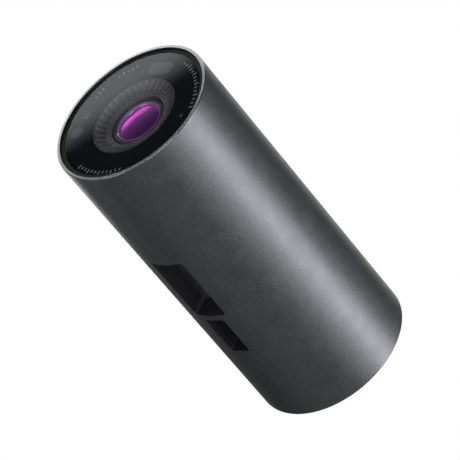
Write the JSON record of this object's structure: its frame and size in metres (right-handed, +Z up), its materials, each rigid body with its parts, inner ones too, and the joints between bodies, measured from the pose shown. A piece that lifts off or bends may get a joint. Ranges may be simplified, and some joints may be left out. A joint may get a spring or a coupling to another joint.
{
  "type": "desk webcam",
  "caption": "Cylindrical anodised desk webcam with a flat glass face, a fluted lens surround, a focusing lens group and docking wells in its underside.",
  "frame": {"origin": "centre of the tube: on its axis, half way between the front lip and the rear lip", "axes": "+Y runs along the tube from the glass to the rear cap, +Z is up, and the wells face -Z"},
  "size_m": [0.042, 0.0916, 0.042],
  "materials": {
    "tube": "bead blasted, dark anodised",
    "black_plastic": "fine moulded texture",
    "bezel_black": "satin black",
    "cover_glass": "polished, anti-reflective",
    "mask_black": "printed black",
    "window_tint": "dark tinted",
    "flute_black": "satin black",
    "lens_metal": "black anodised, machined",
    "coated_glass": "polished, purple coating",
    "clear_glass": "polished, coated",
    "filter_glass": "polished",
    "dock_metal": "dark, fine brushed",
    "magnet_plate": "nickel plated",
    "yoke_steel": "plated",
    "coil_copper": "enamelled wire",
    "spring_metal": "rolled sheet",
    "circuit_board": "solder mask",
    "chip_black": "moulded",
    "sensor_silicon": "polished die in a ceramic frame",
    "connector_ivory": "moulded",
    "flex_amber": "polyimide film",
    "screw_steel": "zinc plated",
    "heat_metal": "as extruded",
    "thermal_pad": "soft silicone",
    "frame_black": "glass-filled, moulded",
    "socket_steel": "drawn and plated",
    "diffuser": "clear, frosted ends"
  },
  "bodies": {
    "camera_body": {"tube_shell": "tube", "bezel_ring": "bezel_black", "front_glass": "cover_glass", "mask_plate": "mask_black", "ir_window": "window_tint", "emitter_window": "window_tint", "presence_window": "window_tint", "status_window": "window_tint", "flute_ring": "flute_black", "front_chassis": "frame_black", "focus_magnets": "magnet_plate", "focus_yoke": "yoke_steel", "front_leaf_spring": "spring_metal", "rear_leaf_spring": "spring_metal", "focus_base": "frame_black", "ir_cut_filter": "filter_glass", "image_sensor": "sensor_silicon", "sensor_board": "circuit_board", "sensor_screws": "screw_steel", "sensor_heat_plate": "heat_metal", "front_board": "circuit_board", "ir_camera": "chip_black", "ir_camera_lens": "lens_metal", "ir_emitter": "chip_black", "presence_sensor": "chip_black", "status_led": "diffuser", "light_pipe": "diffuser", "front_flex": "flex_amber", "sensor_flex": "flex_amber", "dock_tray": "black_plastic", "dock_plate": "dock_metal", "small_tray": "black_plastic", "dock_magnets": "magnet_plate", "main_board": "circuit_board", "board_screws": "screw_steel", "board_connectors": "connector_ivory", "image_processor": "chip_black", "memory_chip": "chip_black", "shield_can": "socket_steel", "thermal_pad": "thermal_pad", "heat_sink": "heat_metal", "inner_frame": "frame_black", "frame_screws": "screw_steel", "usb_board": "circuit_board", "usb_shell": "socket_steel", "usb_tongue": "chip_black", "rear_frame": "frame_black", "rear_cap": "black_plastic"},
    "focus_group": {"lens_barrel": "lens_metal", "lens_retaining_ring": "lens_metal", "front_element": "coated_glass", "front_spacer": "lens_metal", "second_element": "clear_glass", "middle_spacer": "lens_metal", "third_element": "clear_glass", "rear_spacer": "lens_metal", "rear_element": "clear_glass", "rear_retainer": "lens_metal", "lens_carrier": "frame_black", "focus_coil": "coil_copper"}
  },
  "joints": [
    {"name": "focus_slide", "type": "slide", "parent": "camera_body", "child": "focus_group", "axis": [0, -1, 0], "range_m": [0, 0.00035], "stiffness_N_per_m": 40, "deforming": ["front_leaf_spring", "rear_leaf_spring"]}
  ]
}
